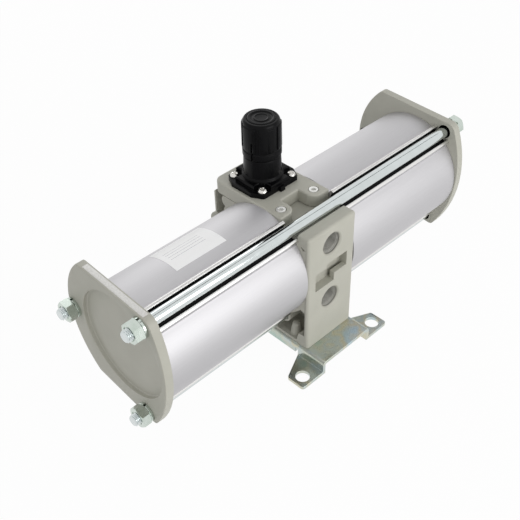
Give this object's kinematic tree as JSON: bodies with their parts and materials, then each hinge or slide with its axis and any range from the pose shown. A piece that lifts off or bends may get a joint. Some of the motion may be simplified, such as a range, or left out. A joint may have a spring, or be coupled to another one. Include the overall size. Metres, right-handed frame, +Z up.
{
  "type": "air pressure booster",
  "caption": "Air-driven pressure booster: two opposed smooth cylinders on a cast centre body with tie rods, foot bracket and a knob-adjusted regulator on top.",
  "frame": {"origin": "middle of the footprint on the mounting surface: halfway between the two end covers and between the feet, z = 0 at the underside of the feet", "axes": "+X along the cylinder axis, +Y away from the port face, +Z up through the knob"},
  "size_m": [0.404, 0.15, 0.2104],
  "materials": {
    "grey_paint": "satin warm grey paint on die cast aluminium",
    "anodised_tube": "bright clear anodised smooth tube",
    "bright_zinc": "bright zinc plated steel",
    "zinc_chromate": "zinc chromate plated sheet steel, iridescent olive",
    "black_moulding": "black moulded plastic, satin",
    "seal_rubber": "black nitrile rubber",
    "wear_plastic": "filled bearing plastic",
    "hard_chrome": "hard chrome plated ground rod",
    "plain_aluminium": "machined aluminium",
    "bearing_brass": "turned brass",
    "ground_steel": "ground steel"
  },
  "bodies": {
    "base": {"foot_bracket": "zinc_chromate", "foot_screws": "bright_zinc", "centre_body": "grey_paint", "valve_housing": "grey_paint", "housing_gasket": "seal_rubber", "housing_screws": "bright_zinc", "left_tube": "anodised_tube", "right_tube": "anodised_tube", "left_end_cover": "grey_paint", "right_end_cover": "grey_paint", "tube_seals": "seal_rubber", "tie_rod_back": "bright_zinc", "tie_rod_top": "bright_zinc", "tie_rod_bottom": "bright_zinc", "left_nuts": "bright_zinc", "right_nuts": "bright_zinc", "left_washers": "bright_zinc", "right_washers": "bright_zinc", "rod_bush": "bearing_brass", "rod_seals": "seal_rubber", "changeover_sleeve": "plain_aluminium", "changeover_guides": "bearing_brass", "check_valve_seats": "bearing_brass", "check_valve_guides": "bearing_brass", "regulator_bonnet": "black_moulding", "bonnet_screws": "bright_zinc", "regulating_spring": "ground_steel", "governor_spring": "ground_steel"},
    "piston_set": {"piston_rod": "hard_chrome", "left_piston": "plain_aluminium", "right_piston": "plain_aluminium", "piston_seals": "seal_rubber", "wear_rings": "wear_plastic", "piston_nuts": "bright_zinc"},
    "changeover_valve": {"changeover_spool": "ground_steel"},
    "left_inlet_valve": {"left_inlet_poppet": "ground_steel", "left_inlet_spring": "ground_steel"},
    "right_inlet_valve": {"right_inlet_poppet": "ground_steel", "right_inlet_spring": "ground_steel"},
    "left_outlet_valve": {"left_outlet_poppet": "ground_steel", "left_outlet_spring": "ground_steel"},
    "right_outlet_valve": {"right_outlet_poppet": "ground_steel", "right_outlet_spring": "ground_steel"},
    "adjuster": {"adjusting_screw": "ground_steel"},
    "knob_set": {"knob": "black_moulding", "knob_cap": "black_moulding"},
    "seat": {"spring_seat": "bearing_brass"},
    "governor": {"governor_piston": "plain_aluminium", "governor_seal": "seal_rubber", "governor_stem": "ground_steel"}
  },
  "joints": [
    {"name": "piston_slide", "type": "slide", "parent": "base", "child": "piston_set", "axis": [1, 0, 0], "range_m": [-0.053, 0.053]},
    {"name": "changeover_slide", "type": "slide", "parent": "base", "child": "changeover_valve", "axis": [1, 0, 0], "range_m": [-0.0025, 0.0025]},
    {"name": "left_inlet_slide", "type": "slide", "parent": "base", "child": "left_inlet_valve", "axis": [-1, 0, 0], "range_m": [0, 0.002], "stiffness_N_per_m": 200, "springref_m": -0.001},
    {"name": "right_inlet_slide", "type": "slide", "parent": "base", "child": "right_inlet_valve", "axis": [1, 0, 0], "range_m": [0, 0.002], "stiffness_N_per_m": 200, "springref_m": -0.001},
    {"name": "left_outlet_slide", "type": "slide", "parent": "base", "child": "left_outlet_valve", "axis": [1, 0, 0], "range_m": [0, 0.002], "stiffness_N_per_m": 200, "springref_m": -0.001},
    {"name": "right_outlet_slide", "type": "slide", "parent": "base", "child": "right_outlet_valve", "axis": [-1, 0, 0], "range_m": [0, 0.002], "stiffness_N_per_m": 200, "springref_m": -0.001},
    {"name": "pressure_adjust", "type": "hinge", "parent": "base", "child": "adjuster", "pos_m": [0, 0.0298, 0.175], "axis": [0, 0, -1], "range_deg": [0, 1440]},
    {"name": "knob_lift", "type": "slide", "parent": "adjuster", "child": "knob_set", "axis": [0, 0, 1], "range_m": [0, 0.0035]},
    {"name": "seat_slide", "type": "slide", "parent": "base", "child": "seat", "axis": [0, 0, -1], "range_m": [0, 0.005], "deforming": ["regulating_spring"]},
    {"name": "governor_slide", "type": "slide", "parent": "base", "child": "governor", "axis": [0, 0, -1], "range_m": [0, 0.0012], "stiffness_N_per_m": 1200, "springref_m": -0.001, "deforming": ["governor_spring"]}
  ],
  "couplings": [
    {"joint": "pressure_adjust", "follows": "seat_slide", "rad_per_m": 5026.5}
  ]
}
